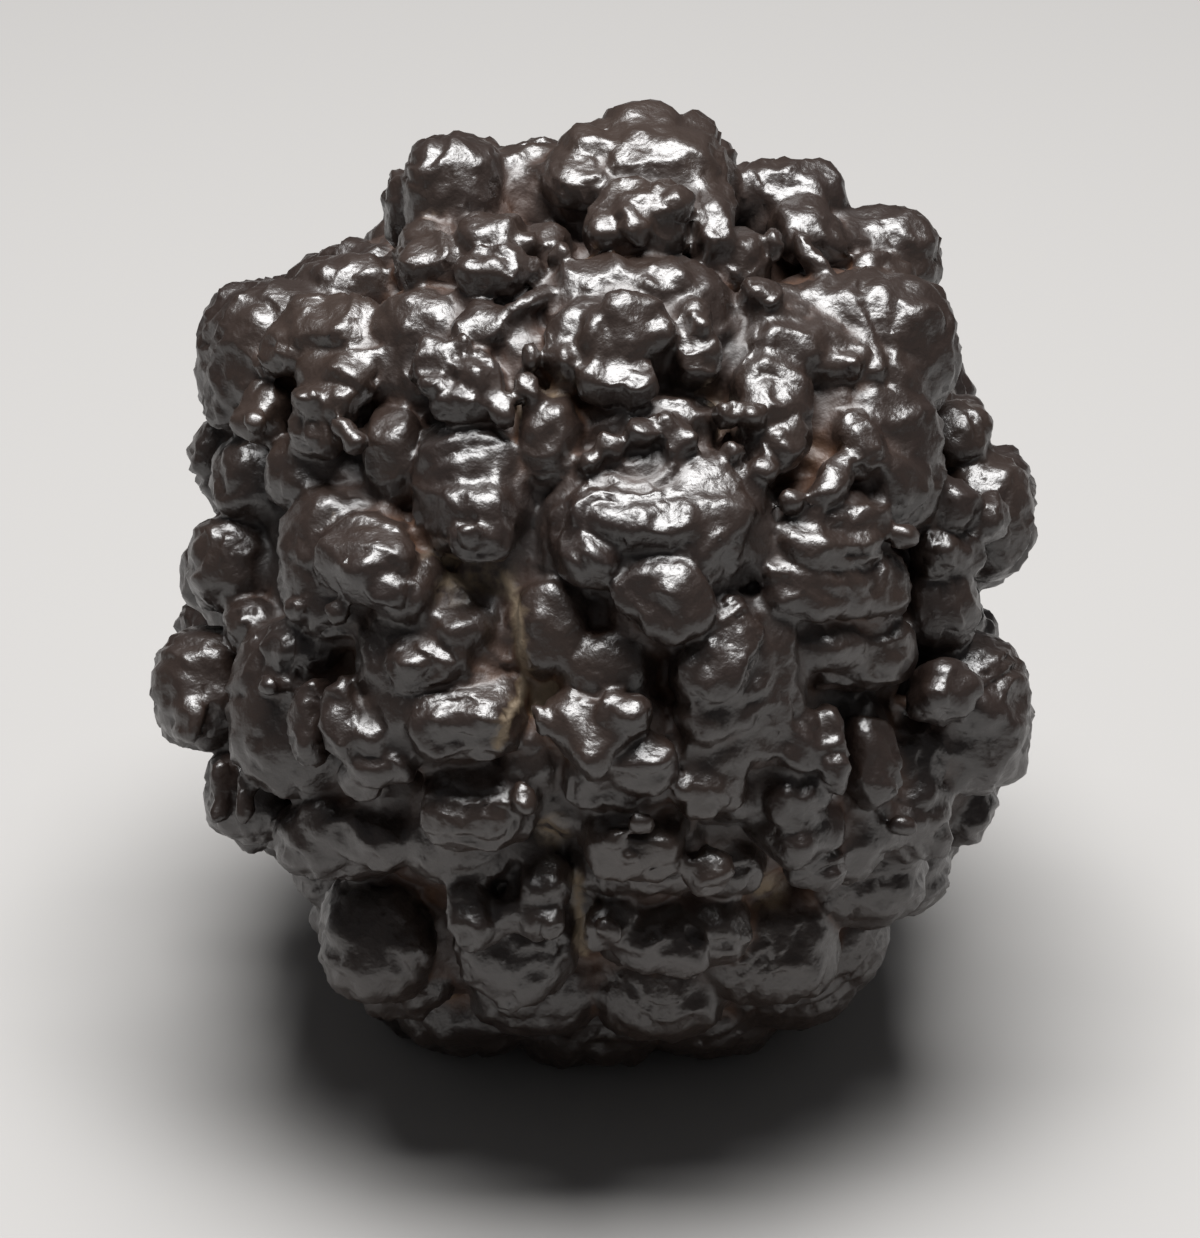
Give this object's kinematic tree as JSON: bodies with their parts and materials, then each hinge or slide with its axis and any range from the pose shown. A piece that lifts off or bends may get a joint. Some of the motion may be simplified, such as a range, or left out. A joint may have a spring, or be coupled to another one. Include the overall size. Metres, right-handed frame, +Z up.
{
  "type": "limonite concretion",
  "caption": "Dark brown limonite concretion, a hand-sized ball of fused, stepped knobs that rests on a worn foot.",
  "frame": {"origin": "on the ground plane, under the middle of the stone's bounding box", "axes": "+Z up from the worn foot, -Y toward the side seen in the picture, +X to its right"},
  "size_m": [0.0584, 0.0622, 0.0633],
  "materials": {
    "stone": "semi-gloss"
  },
  "bodies": {
    "root": {"limonite_concretion": "stone"}
  },
  "joints": []
}
